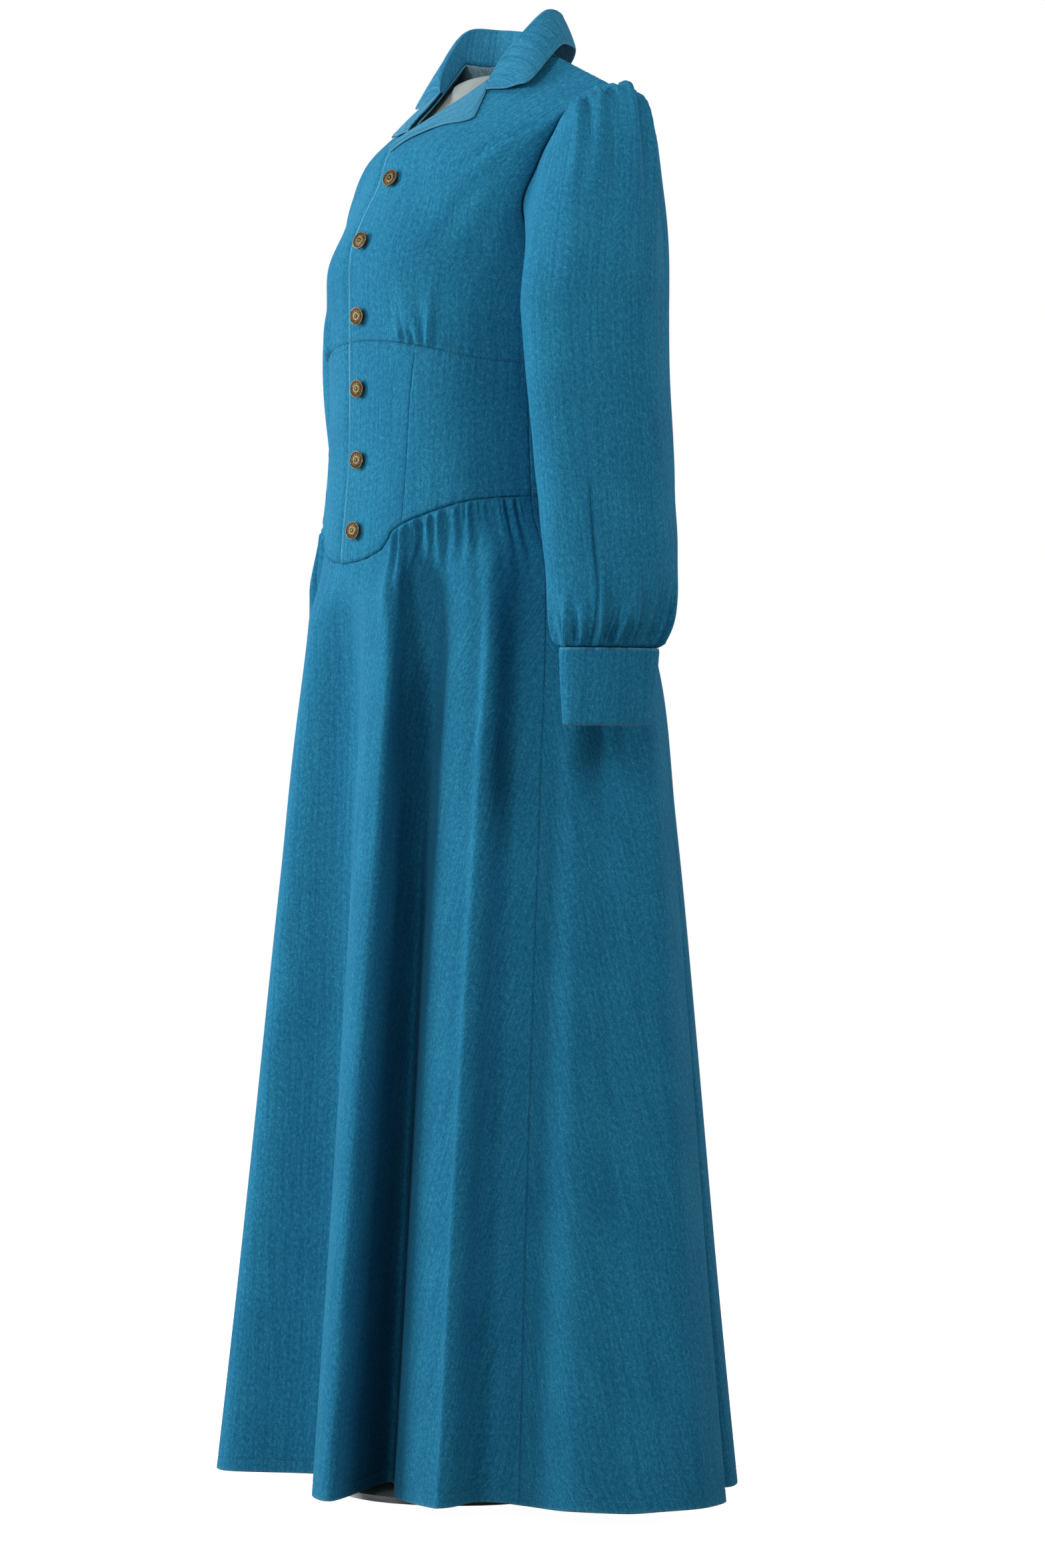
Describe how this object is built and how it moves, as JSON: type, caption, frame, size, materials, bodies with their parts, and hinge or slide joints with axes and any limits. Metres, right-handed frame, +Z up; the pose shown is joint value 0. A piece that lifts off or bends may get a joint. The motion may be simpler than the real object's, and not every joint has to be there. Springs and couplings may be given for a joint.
{
  "type": "denim maxi dress on a limbless dress form with a pole and a round base",
  "caption": "Denim maxi dress with notched collar, fitted midriff, gathered skirt and full cuffed sleeves, worn by a limbless dress form.",
  "frame": {"origin": "centre of the underside of the dress form's round base", "axes": "+Z up along the pole; the wearer faces -Y and the wearer's left is +X"},
  "size_m": [0.6278, 0.4674, 1.4736],
  "materials": {
    "denim": "soft mid-blue denim, fine twill, matt",
    "brass": "aged, satin, pierced pattern",
    "form": "smooth grey-green",
    "stand": "pale grey satin"
  },
  "bodies": {
    "root": {"bodice_front_left": "denim", "bodice_front_right": "denim", "bodice_back": "denim", "midriff_center_left": "denim", "midriff_center_right": "denim", "midriff_side_left": "denim", "midriff_side_right": "denim", "midriff_back": "denim", "skirt_front": "denim", "skirt_back": "denim", "sleeve_left": "denim", "sleeve_right": "denim", "cuff_left": "denim", "cuff_right": "denim", "collar": "denim", "lapel_left": "denim", "lapel_right": "denim", "button_1": "brass", "button_2": "brass", "button_3": "brass", "button_4": "brass", "button_5": "brass", "button_6": "brass", "form_torso": "form", "form_pole": "stand", "form_base": "stand"}
  },
  "joints": []
}
